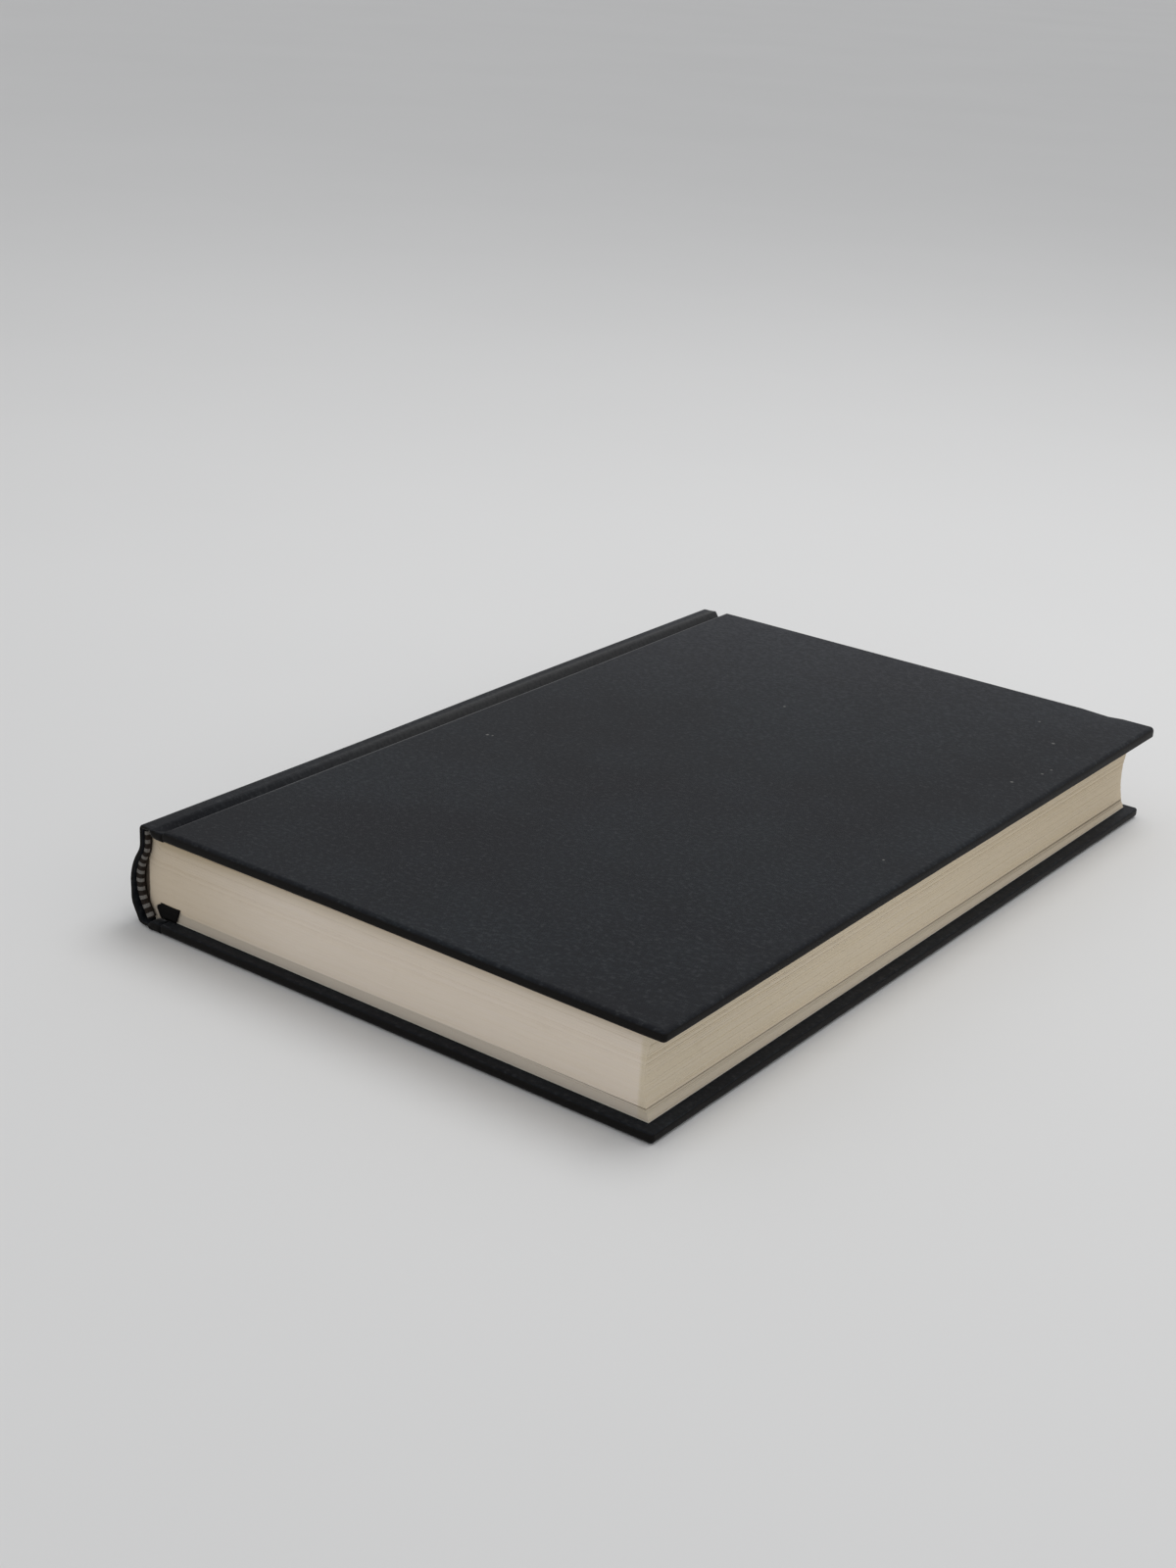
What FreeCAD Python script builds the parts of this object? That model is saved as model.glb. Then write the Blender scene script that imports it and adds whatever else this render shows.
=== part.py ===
import FreeCAD, Part
import math
import os

# A case-bound book, rounded and backed, lying closed on its back cover.
# All sizes are millimetres. X runs from the spine (-) to the fore edge (+), Y from the
# tail (-) to the head (+) and Z up. The origin is under the middle of the whole book.

# Case: cloth over two boards, and a card strip that stiffens the spine
COVER_HEIGHT = 222.0
COVER_WIDTH = 133.8
BOARD_THICKNESS = 2.0
CLOTH_THICKNESS = 0.25
CARD_THICKNESS = 0.5
TURN_IN = 15.0
CORNER_RADIUS = 1.5
EDGE_ROUNDING = 0.5

# Book block: all the leaves, and the end leaves before and after them
BLOCK_THICKNESS = 19.6
END_SQUARE = 3.0
FORE_SQUARE = 3.0
FORE_HOLLOW = 1.8
FLYLEAF_THICKNESS = 0.15
PASTEDOWN_THICKNESS = 0.15
PASTEDOWN_INSET = 3.2
REST_GAP = 0.1

# Spine: the bulge stands low, because the closed book leans a little
COVER_SLIP = 1.2
BULGE_REACH = 8.95
BULGE_HEIGHT = 10.0
SPINE_RADIUS = 13.4
BACK_FLANK = 30.0
WALL_REACH = 6.85
FLANK_RADIUS = 5.0
CREST_DROP = 0.65
CREST_ROUNDING = 1.2
FRONT_GROOVE_WIDTH = 3.65
BACK_GROOVE_WIDTH = 2.9
GROOVE_SLOPE = 0.5
RIDGE_ROUNDING = 0.8
FOOT_ROUNDING = 0.3
JOINT_GAP = 0.35
LINING_TAIL = 1.1

# Linings of the spine and the space behind them
HOLLOW = 0.45
LINING_THICKNESS = 0.2
MULL_THICKNESS = 0.2
MULL_FLAP = 25.0
MULL_INSET = 12.0
SPINE_TURN_IN = 14.0

# Headbands
BEAD_WIDTH = 2.2
BEAD_HEIGHT = 1.7
BEAD_ROUNDING = 0.7
TAPE_LENGTH = 8.0
BAND_INSET = 1.6

# Ribbon marker, and the narrow parting of the leaves that it lies in
RIBBON_WIDTH = 6.5
RIBBON_THICKNESS = 0.15
RIBBON_FROM_SPINE = 5.6
PARTING_HEIGHT = 0.3
PARTING_DEPTH_MARGIN = 0.9
PARTING_LEVEL = 5.34
PARTING_TILT_X = -0.0046
PARTING_TILT_Y = -0.00255
TAB_DROP = 3.2
TAB_CUT_BACK = 1.3
RIBBON_HEAD_LOW = 8.0
RIBBON_HEAD_HIGH = 13.4
RIBBON_TUCK = 0.8

# Places that follow from those sizes
total_reach = COVER_SLIP + COVER_WIDTH + BULGE_REACH
front_fore_x = total_reach / 2
back_fore_x = front_fore_x - COVER_SLIP
front_joint_x = front_fore_x - COVER_WIDTH
back_joint_x = back_fore_x - COVER_WIDTH
bulge_x = back_joint_x - BULGE_REACH
wall_x = front_joint_x - WALL_REACH
block_fore_x = back_fore_x - FORE_SQUARE

cover_end_y = COVER_HEIGHT / 2
block_end_y = cover_end_y - END_SQUARE

cover_thickness = BOARD_THICKNESS + 2 * CLOTH_THICKNESS
back_flyleaf_z = cover_thickness + PASTEDOWN_THICKNESS + REST_GAP
block_bottom_z = back_flyleaf_z + FLYLEAF_THICKNESS
block_top_z = block_bottom_z + BLOCK_THICKNESS
book_thickness = block_top_z + block_bottom_z

ribbon_from_x = bulge_x + RIBBON_FROM_SPINE
ribbon_to_x = ribbon_from_x + RIBBON_WIDTH

# Depths under the outer face of the cloth, going in through the layers of the spine
under_cloth = CLOTH_THICKNESS
under_mull_flap = under_cloth + MULL_THICKNESS
under_card = under_cloth + CARD_THICKNESS
under_turn_in = under_card + CLOTH_THICKNESS
under_hollow = under_card + HOLLOW
under_lining = under_hollow + LINING_THICKNESS
under_mull = under_lining + MULL_THICKNESS


def meet(point, along, other, other_along):
    """Point where two lines of the X-Z plane cross."""
    cross = along[0] * other_along[1] - along[1] * other_along[0]
    gap = (other[0] - point[0], other[1] - point[1])
    reach = (gap[0] * other_along[1] - gap[1] * other_along[0]) / cross
    return (point[0] + reach * along[0], point[1] + reach * along[1])


def heading(start, end):
    """Unit direction from one point to the next."""
    length = math.dist(start, end)
    return ((end[0] - start[0]) / length, (end[1] - start[1]) / length)


def inset_chain(chain, depths):
    """Chain of (corner, radius) moved in to its left, each run by its own depth."""
    runs = []
    for (start, _), (end, _), depth in zip(chain, chain[1:], depths):
        along = heading(start, end)
        moved = (start[0] - along[1] * depth, start[1] + along[0] * depth)
        runs.append((moved, along, depth))
    moved_chain = [(runs[0][0], 0.0)]
    for index in range(1, len(chain) - 1):
        before, after = runs[index - 1], runs[index]
        corner = meet(before[0], before[1], after[0], after[1])
        turn = before[1][0] * after[1][1] - before[1][1] * after[1][0]
        depth = max(before[2], after[2])
        radius = chain[index][1] - math.copysign(depth, turn)
        moved_chain.append((corner, max(radius, 0.0)))
    last = runs[-1]
    end = chain[-1][0]
    moved_chain.append(((end[0] - last[1][1] * last[2], end[1] + last[1][0] * last[2]), 0.0))
    return moved_chain


def at(point, y=0.0):
    """Point of the X-Z plane as a vector at height y along the book."""
    return FreeCAD.Vector(point[0], y, point[1])


def chain_edges(chain, y):
    """Lines and tangent arcs through the corners of a chain."""
    edges = []
    here = chain[0][0]
    for index in range(1, len(chain)):
        corner, radius = chain[index]
        if radius > 0.0 and index < len(chain) - 1:
            into = heading(chain[index - 1][0], corner)
            out = heading(corner, chain[index + 1][0])
            turn = math.acos(into[0] * out[0] + into[1] * out[1])
            reach = radius * math.tan(turn / 2)
            start = (corner[0] - into[0] * reach, corner[1] - into[1] * reach)
            end = (corner[0] + out[0] * reach, corner[1] + out[1] * reach)
            bisector = heading(corner, ((start[0] + end[0]) / 2, (start[1] + end[1]) / 2))
            bulge = radius / math.cos(turn / 2) - radius
            middle = (corner[0] + bisector[0] * bulge, corner[1] + bisector[1] * bulge)
            if math.dist(here, start) > 1e-6:
                edges.append(Part.LineSegment(at(here, y), at(start, y)).toShape())
            edges.append(Part.Arc(at(start, y), at(middle, y), at(end, y)).toShape())
            here = end
        elif math.dist(here, corner) > 1e-6:
            edges.append(Part.LineSegment(at(here, y), at(corner, y)).toShape())
            here = corner
    return edges


def extrude(edges, length):
    """Solid from a closed outline in an X-Z plane, drawn out along Y."""
    wire = Part.Wire(Part.__sortEdges__(edges))
    return Part.Face(wire).extrude(FreeCAD.Vector(0, length, 0))


def layer(chain, outer_depths, inner_depths, y_from, y_to):
    """Sheet that lies between two depths under a chain."""
    outer = inset_chain(chain, outer_depths)
    inner = inset_chain(chain, inner_depths)
    edges = chain_edges(outer, y_from) + chain_edges(inner, y_from)
    for end in (0, -1):
        edges.append(Part.LineSegment(at(outer[end][0], y_from), at(inner[end][0], y_from)).toShape())
    return extrude(edges, y_to - y_from)


def cuboid(x_from, x_to, y_from, y_to, z_from, z_to):
    """Plain box between two corners."""
    corner = FreeCAD.Vector(x_from, y_from, z_from)
    return Part.makeBox(x_to - x_from, y_to - y_from, z_to - z_from, corner)


def upright_edges(shape):
    """Straight edges of a box that stand along Z."""
    found = []
    for edge in shape.Edges:
        across = edge.Vertexes[-1].Point - edge.Vertexes[0].Point
        if abs(across.z) > 0.999 * edge.Length:
            found.append(edge)
    return found


# Outline of the spine's cloth, from the front groove over the back of the book to the
# back groove
front_crest_z = book_thickness - CREST_DROP
back_crest_z = CREST_DROP
groove_floor = MULL_THICKNESS + CLOTH_THICKNESS
front_floor_z = block_top_z + FLYLEAF_THICKNESS + groove_floor
back_floor_z = back_flyleaf_z - groove_floor

arc_centre = (bulge_x + SPINE_RADIUS, BULGE_HEIGHT)
flank_x = wall_x - FLANK_RADIUS
centre_to_flank = SPINE_RADIUS + FLANK_RADIUS
flank_rise = math.sqrt(centre_to_flank ** 2 - (arc_centre[0] - flank_x) ** 2)
flank_centre = (flank_x, BULGE_HEIGHT + flank_rise)
toward_flank = heading(arc_centre, flank_centre)
arc_start = (
    arc_centre[0] + SPINE_RADIUS * toward_flank[0],
    arc_centre[1] + SPINE_RADIUS * toward_flank[1],
)
start_along = (-toward_flank[1], toward_flank[0])
back_flank = math.radians(BACK_FLANK)
end_along = (math.sin(back_flank), -math.cos(back_flank))
arc_end = (
    arc_centre[0] - SPINE_RADIUS * math.cos(back_flank),
    arc_centre[1] - SPINE_RADIUS * math.sin(back_flank),
)
wall_corner = meet((wall_x, 0.0), (0.0, 1.0), arc_start, start_along)
bulge_corner = meet(arc_start, start_along, arc_end, end_along)
back_corner = meet(arc_end, end_along, (0.0, back_crest_z), (1.0, 0.0))
lining_end = (
    arc_end[0] + LINING_TAIL * end_along[0],
    arc_end[1] + LINING_TAIL * end_along[1],
)

front_crest_x = front_joint_x - FRONT_GROOVE_WIDTH
back_crest_x = back_joint_x - BACK_GROOVE_WIDTH
SPINE_OUTLINE = [
    ((front_joint_x - JOINT_GAP, front_floor_z), 0.0),
    ((front_crest_x + GROOVE_SLOPE, front_floor_z), FOOT_ROUNDING),
    ((front_crest_x, front_crest_z), RIDGE_ROUNDING),
    ((wall_x, front_crest_z), CREST_ROUNDING),
    (wall_corner, FLANK_RADIUS),
    (bulge_corner, SPINE_RADIUS),
    (back_corner, CREST_ROUNDING),
    ((back_crest_x, back_crest_z), RIDGE_ROUNDING),
    ((back_crest_x + GROOVE_SLOPE, back_floor_z), FOOT_ROUNDING),
    ((back_joint_x - JOINT_GAP, back_floor_z), 0.0),
]
BACK_OUTLINE = [
    ((wall_x, front_crest_z - CREST_ROUNDING), 0.0),
    (wall_corner, FLANK_RADIUS),
    (bulge_corner, SPINE_RADIUS),
    (lining_end, 0.0),
]
BAND_OUTLINE = [((wall_x, front_crest_z - CREST_ROUNDING - BAND_INSET), 0.0)] + BACK_OUTLINE[1:]


def wrap(shoulder_depth, back_depth, floor_depth):
    """Depth of each run of the spine outline: groove, ridge, crest, back and so on."""
    shoulder = [floor_depth, shoulder_depth, shoulder_depth]
    return shoulder + [back_depth] * 3 + shoulder[::-1]


def back_layer(outer_depth, inner_depth, y_from, y_to, chain=BACK_OUTLINE):
    """Sheet over the back of the book alone, between its two shoulders."""
    runs = len(chain) - 1
    return layer(chain, [outer_depth] * runs, [inner_depth] * runs, y_from, y_to)


def flipped(z_from, z_to, front):
    """The same two levels of a cover, counted from the top for the front one."""
    if front:
        return book_thickness - z_to, book_thickness - z_from
    return z_from, z_to


def cover_span(front):
    """Spine-side and fore-edge X of a cover."""
    if front:
        return front_joint_x, front_fore_x
    return back_joint_x, back_fore_x


def make_board(front):
    """Greyboard of one cover, with its corners eased."""
    joint_x, fore_x = cover_span(front)
    z_from, z_to = flipped(CLOTH_THICKNESS, CLOTH_THICKNESS + BOARD_THICKNESS, front)
    end_y = cover_end_y - CLOTH_THICKNESS
    inset = CLOTH_THICKNESS
    board = cuboid(joint_x + inset, fore_x - inset, -end_y, end_y, z_from, z_to)
    return board.makeFillet(CORNER_RADIUS - CLOTH_THICKNESS, upright_edges(board))


def make_cover_cloth(front):
    """Cloth round one board: outer face, wrapped edges and the turn-ins inside."""
    joint_x, fore_x = cover_span(front)
    z_from, z_to = flipped(0.0, cover_thickness, front)
    cloth = cuboid(joint_x, fore_x, -cover_end_y, cover_end_y, z_from, z_to)
    cloth = cloth.makeFillet(CORNER_RADIUS, upright_edges(cloth))
    outer_z = z_to if front else z_from
    rim = []
    for edge in cloth.Edges:
        if abs(edge.CenterOfMass.z - outer_z) < 1e-6:
            rim.append(edge)
    cloth = cloth.makeFillet(EDGE_ROUNDING, rim)
    z_from, z_to = flipped(cover_thickness - CLOTH_THICKNESS, cover_thickness, front)
    window_y = cover_end_y - TURN_IN
    window = cuboid(
        joint_x + CLOTH_THICKNESS, fore_x - TURN_IN, -window_y, window_y, z_from, z_to
    )
    return cloth.cut(make_board(front)).cut(window)


def make_mull_flap(front):
    """Gauze flap from the spine, pasted down on the inside of one board."""
    joint_x, _ = cover_span(front)
    z_from, z_to = flipped(cover_thickness - CLOTH_THICKNESS, cover_thickness, front)
    end_y = cover_end_y - TURN_IN
    return cuboid(
        joint_x + CLOTH_THICKNESS, joint_x + MULL_FLAP, -end_y, end_y, z_from, z_to
    )


def make_pastedown(front):
    """End leaf pasted inside one cover: it covers the turn-ins and fills the window."""
    joint_x, fore_x = cover_span(front)
    z_from, z_to = flipped(cover_thickness, cover_thickness + PASTEDOWN_THICKNESS, front)
    end_y = cover_end_y - PASTEDOWN_INSET
    sheet = cuboid(
        joint_x + CLOTH_THICKNESS, fore_x - PASTEDOWN_INSET, -end_y, end_y, z_from, z_to
    )
    z_from, z_to = flipped(cover_thickness - CLOTH_THICKNESS, cover_thickness, front)
    window_y = cover_end_y - TURN_IN
    filling = cuboid(
        joint_x + MULL_FLAP, fore_x - TURN_IN, -window_y, window_y, z_from, z_to
    )
    return sheet.fuse(filling).removeSplitter()


def make_spine_cloth():
    """Cloth over the spine and down both grooves, turned in round the card's ends."""
    outer = wrap(0.0, 0.0, 0.0)
    inner = wrap(under_cloth, under_cloth, under_cloth)
    cloth = layer(SPINE_OUTLINE, outer, inner, -cover_end_y, cover_end_y)
    fold_y = cover_end_y - CLOTH_THICKNESS
    turn_y = fold_y - SPINE_TURN_IN
    for side in (-1, 1):
        for depths, ends in (
            ((0.0, under_turn_in), (fold_y, cover_end_y)),
            ((under_card, under_turn_in), (turn_y, fold_y)),
        ):
            y_from, y_to = sorted((side * ends[0], side * ends[1]))
            cloth = cloth.fuse(back_layer(depths[0], depths[1], y_from, y_to))
    return cloth.removeSplitter()


def make_spine_card():
    """Card strip that stiffens the spine of the case."""
    end_y = cover_end_y - CLOTH_THICKNESS
    return back_layer(under_cloth, under_card, -end_y, end_y)


def make_spine_lining():
    """Paper glued over the mull on the back of the block."""
    end_y = block_end_y - MULL_INSET / 2
    return back_layer(under_hollow, under_lining, -end_y, end_y)


def make_spine_mull():
    """Gauze over the back of the block and its shoulders, out to both joints."""
    end_y = block_end_y - MULL_INSET
    outer = wrap(under_cloth, under_lining, under_cloth)
    inner = wrap(under_mull_flap, under_mull, under_mull_flap)
    return layer(SPINE_OUTLINE, outer, inner, -end_y, end_y)


def parting_z(x, y):
    """Height of the parting between the leaves, which lies slightly askew."""
    return PARTING_LEVEL + PARTING_TILT_X * x + PARTING_TILT_Y * y


def askew_slab(x_from, x_to, y_from, y_to, height):
    """Thin slab that follows the parting, centred on it."""
    corners = [(x_from, y_from), (x_to, y_from), (x_to, y_to), (x_from, y_to)]
    points = []
    for x, y in corners:
        points.append(FreeCAD.Vector(x, y, parting_z(x, y) - height / 2))
    face = Part.Face(Part.makePolygon(points + points[:1]))
    return face.extrude(FreeCAD.Vector(0, 0, height))


def make_page_block():
    """All the leaves as one solid: round back, two shoulders and a hollow fore edge."""
    floor_depth = under_mull_flap + FLYLEAF_THICKNESS
    back = inset_chain(SPINE_OUTLINE, wrap(under_mull_flap, under_mull, floor_depth))
    top = (block_fore_x, block_top_z)
    bottom = (block_fore_x, block_bottom_z)
    hollow = (block_fore_x - FORE_HOLLOW, (block_top_z + block_bottom_z) / 2)
    y = -block_end_y
    edges = chain_edges(back, y)
    edges.append(Part.LineSegment(at(back[0][0], y), at(top, y)).toShape())
    edges.append(Part.Arc(at(top, y), at(hollow, y), at(bottom, y)).toShape())
    edges.append(Part.LineSegment(at(bottom, y), at(back[-1][0], y)).toShape())
    block = extrude(edges, 2 * block_end_y)
    parting = askew_slab(
        ribbon_from_x - PARTING_DEPTH_MARGIN,
        front_fore_x,
        -cover_end_y,
        cover_end_y,
        PARTING_HEIGHT,
    )
    return block.cut(parting)


def make_flyleaf(front):
    """Free end leaf against one face of the block."""
    crest_x = front_crest_x if front else back_crest_x
    foot_x = crest_x + GROOVE_SLOPE + FOOT_ROUNDING + under_mull_flap
    z_from = block_top_z if front else back_flyleaf_z
    return cuboid(
        foot_x, block_fore_x, -block_end_y, block_end_y, z_from, z_from + FLYLEAF_THICKNESS
    )


def make_band(side):
    """Headband at one end of the spine: a sewn bead on a narrow tape."""
    bead_from = block_end_y
    bead_to = block_end_y + BEAD_HEIGHT
    bead_depth = under_turn_in + BEAD_WIDTH
    bead = back_layer(under_turn_in, bead_depth, bead_from, bead_to, BAND_OUTLINE)
    rim = []
    for edge in bead.Edges:
        on_top = all(abs(vertex.Y - bead_to) < 1e-6 for vertex in edge.Vertexes)
        if on_top and edge.Length > BEAD_WIDTH + 0.01:
            rim.append(edge)
    bead = bead.makeFillet(BEAD_ROUNDING, rim)
    tape_from = block_end_y - TAPE_LENGTH
    tape = back_layer(under_turn_in, under_hollow, tape_from, bead_from, BAND_OUTLINE)
    band = bead.fuse(tape).removeSplitter()
    if side < 0:
        band = band.mirror(FreeCAD.Vector(0, 0, 0), FreeCAD.Vector(0, 1, 0))
    return band


def flat_piece(points, y_from, thickness):
    """Thin plate from an outline of the X-Z plane."""
    vectors = [at(point, y_from) for point in points]
    face = Part.Face(Part.makePolygon(vectors + vectors[:1]))
    return face.extrude(FreeCAD.Vector(0, thickness, 0))


def make_ribbon():
    """Ribbon marker: glued in at the head, through the leaves, its end out at the tail."""
    run_end = block_end_y + RIBBON_THICKNESS
    run = askew_slab(ribbon_from_x, ribbon_to_x, -run_end, run_end, RIBBON_THICKNESS)
    tail_z = parting_z(ribbon_from_x, -block_end_y)
    tail_right_z = parting_z(ribbon_to_x, -block_end_y)
    tail = flat_piece(
        [
            (ribbon_from_x, tail_z),
            (ribbon_to_x, tail_right_z),
            (ribbon_to_x - TAB_CUT_BACK, tail_right_z - TAB_DROP),
            (ribbon_from_x + TAB_CUT_BACK / 2, tail_right_z - TAB_DROP),
        ],
        -run_end,
        RIBBON_THICKNESS,
    )
    head_z = parting_z(ribbon_from_x, block_end_y)
    head_right_z = parting_z(ribbon_to_x, block_end_y)
    tuck_x = bulge_x + under_turn_in + BEAD_WIDTH - RIBBON_TUCK
    head = flat_piece(
        [
            (ribbon_from_x, head_z),
            (ribbon_to_x, head_right_z),
            (tuck_x, RIBBON_HEAD_HIGH),
            (tuck_x, RIBBON_HEAD_LOW),
        ],
        block_end_y,
        RIBBON_THICKNESS,
    )
    return run.fuse(tail).fuse(head).removeSplitter()


ribbon = make_ribbon()
PARTS = {
    "page_block": make_page_block(),
    "front_flyleaf": make_flyleaf(True),
    "back_flyleaf": make_flyleaf(False),
    "head_band": make_band(1).cut(ribbon),
    "tail_band": make_band(-1),
    "ribbon_marker": ribbon,
    "spine_mull": make_spine_mull(),
    "spine_lining": make_spine_lining(),
    "spine_card": make_spine_card(),
    "spine_cloth": make_spine_cloth(),
    "front_board": make_board(True),
    "front_cover_cloth": make_cover_cloth(True),
    "front_mull_flap": make_mull_flap(True),
    "front_pastedown": make_pastedown(True),
    "back_board": make_board(False),
    "back_cover_cloth": make_cover_cloth(False),
    "back_mull_flap": make_mull_flap(False),
    "back_pastedown": make_pastedown(False),
}

os.makedirs("parts", exist_ok=True)
for name, shape in PARTS.items():
    solids = shape.Solids
    solid = solids[0] if len(solids) == 1 else Part.makeCompound(solids)
    solid.exportStep("parts/" + name + ".step")
    box = solid.BoundBox
    print(
        f"{name:18s} solids {len(solids)}  valid {solid.isValid()}  volume {solid.Volume:10.1f}"
        f"  x {box.XMin:8.2f} {box.XMax:8.2f}  y {box.YMin:8.2f} {box.YMax:8.2f}"
        f"  z {box.ZMin:6.2f} {box.ZMax:6.2f}"
    )
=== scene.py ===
# %% [markdown]
# # A hardback book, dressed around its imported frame
# The object is a case-bound book that lies closed on its back cover: two cloth-covered
# boards, a rounded cloth spine and a thick block of leaves between them.
# The frame gives every solid in its true place, so each piece below is shaped round it,
# in the same axes: X from the spine to the fore edge, Y from the tail to the head, Z up.

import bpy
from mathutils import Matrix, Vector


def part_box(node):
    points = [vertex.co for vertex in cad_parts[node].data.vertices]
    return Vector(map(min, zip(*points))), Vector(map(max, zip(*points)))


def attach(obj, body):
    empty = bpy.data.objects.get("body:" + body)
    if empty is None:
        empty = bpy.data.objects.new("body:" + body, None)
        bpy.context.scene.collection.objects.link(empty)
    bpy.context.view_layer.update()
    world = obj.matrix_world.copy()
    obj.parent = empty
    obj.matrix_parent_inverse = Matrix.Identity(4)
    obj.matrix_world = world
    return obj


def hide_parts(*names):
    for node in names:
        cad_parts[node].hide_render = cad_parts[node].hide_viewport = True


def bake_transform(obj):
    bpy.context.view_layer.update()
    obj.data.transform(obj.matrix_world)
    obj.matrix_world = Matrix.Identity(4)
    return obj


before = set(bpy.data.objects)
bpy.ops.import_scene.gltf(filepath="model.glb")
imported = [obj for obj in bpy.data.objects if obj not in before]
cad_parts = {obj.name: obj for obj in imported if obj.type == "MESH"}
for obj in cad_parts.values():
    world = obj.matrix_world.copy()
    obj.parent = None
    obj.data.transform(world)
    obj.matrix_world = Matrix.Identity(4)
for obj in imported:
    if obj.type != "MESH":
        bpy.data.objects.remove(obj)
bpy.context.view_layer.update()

# %% Other modules
import math
import random

import bmesh
import bpy
from mathutils import Matrix, Vector, noise

# %% [markdown]
# ## From millimetres to meshes
# A book's sizes are easiest to read in millimetres, while the scene is in metres. So every
# shape is written in millimetres, and one helper scales it when the mesh is made.
# The helper also keeps sharp what bends by more than a given angle: cloth folds stay soft
# and the rims of a sheet stay crisp.

# %% Make a mesh piece
MM = 0.001
WELD = 0.002


def make_piece(name, points, faces, material, sharp=40.0):
    """Mesh object from points in millimetres."""
    mesh = bpy.data.meshes.new(name)
    mesh.from_pydata([Vector(point) * MM for point in points], [], faces)
    mesh.validate()
    mesh.shade_smooth()
    mesh.set_sharp_from_angle(angle=math.radians(sharp))
    mesh.materials.append(material)
    piece = bpy.data.objects.new(name, mesh)
    bpy.context.scene.collection.objects.link(piece)
    return piece


def face_outward(piece, weld=0.0):
    """Makes all faces look outward, after welding points closer than a distance."""
    work = bmesh.new()
    work.from_mesh(piece.data)
    if weld:
        bmesh.ops.remove_doubles(work, verts=work.verts, dist=weld * MM)
    bmesh.ops.recalc_face_normals(work, faces=work.faces)
    work.to_mesh(piece.data)
    work.free()


def tidy_mesh(piece, sharp=40.0):
    """Welds points that coincide, faces the mesh outward and marks its sharp edges."""
    face_outward(piece, WELD)
    piece.data.set_sharp_from_angle(angle=math.radians(sharp))


def thicken(piece, thickness, offset=-1.0):
    """Gives a sheet its thickness: inward from its modelled face, or on both sides for 0."""
    solid = piece.modifiers.new("thickness", "SOLIDIFY")
    solid.thickness = thickness * MM
    solid.offset = offset


def report(piece):
    print(f"{piece.name}: {len(piece.data.vertices)} points, {len(piece.data.polygons)} faces")


# %% [markdown]
# Cloth and paper never change abruptly, so worn and bent places fade in and out along two
# smooth curves: a step and a bump. Sheets are grids of points and covers are rings.

# %% Smooth steps, grids and rings
def ease(value, low, high):
    """Goes smoothly from 0 at low to 1 at high."""
    share = max(0.0, min(1.0, (value - low) / (high - low)))
    return share * share * (3 - 2 * share)


def swell(value, centre, reach):
    """A smooth bump from 0 to 1 and back."""
    share = min(abs(value - centre) / reach, 1.0)
    return (1 - share * share) ** 2


def grid_faces(columns, rows):
    """Quads of a grid whose points are listed column by column."""
    faces = []
    for column in range(columns - 1):
        for row in range(rows - 1):
            a = column * rows + row
            faces.append((a, a + 1, a + rows + 1, a + rows))
    return faces


def ring_faces(rings, size):
    """Quads between closed rings that follow each other."""
    faces = []
    for ring in range(rings - 1):
        for index in range(size):
            a = ring * size + index
            b = ring * size + (index + 1) % size
            faces.append((a, b, b + size, a + size))
    return faces


print("faces in a grid of 3 by 3 points:", len(grid_faces(3, 3)))


# %% [markdown]
# ## Shader maths as plain expressions
# A finish is a sum of small signals: a weave, a mottling, a worn edge. Blender adds them up
# with nodes. Wrapping a socket in a small class lets Python write those nodes, so that
# `base * (1 - mask)` reads like the sum it is.

# %% The socket wrapper
class Signal:
    """A number or colour that varies over a surface: one output socket of a node."""

    def __init__(self, paint, socket):
        self.paint = paint
        self.socket = socket

    def math(self, operation, *values):
        return self.paint.node("Math", {"operation": operation}, dict(enumerate(values)))

    def __add__(self, other):
        return self.math("ADD", self, other)

    def __sub__(self, other):
        return self.math("SUBTRACT", self, other)

    def __mul__(self, other):
        return self.math("MULTIPLY", self, other)

    def __rsub__(self, other):
        return self.math("SUBTRACT", other, self)

    __radd__ = __add__

    def abs(self):
        return self.math("ABSOLUTE", self)

    def sine(self):
        return self.math("SINE", self)

    def at_least(self, other):
        return self.math("MAXIMUM", self, other)

    def rise(self, low, high):
        """Goes smoothly from 0 at low to 1 at high. With low above high it falls."""
        settings = {"interpolation_type": "SMOOTHSTEP"}
        if low > high:
            return 1 - self.rise(high, low)
        return self.paint.node("MapRange", settings, {0: self, 1: low, 2: high})

    def near(self, centre, reach):
        """1 at a value, falling to 0 at a distance from it."""
        return (self - centre).abs().rise(reach, 0.25 * reach)


# %% [markdown]
# A finish also needs the place on the surface, noise, mixed colours and a shader at the end.
# Each is one method here. Sizes are in millimetres, so a thread pitch is written as measured.

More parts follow.
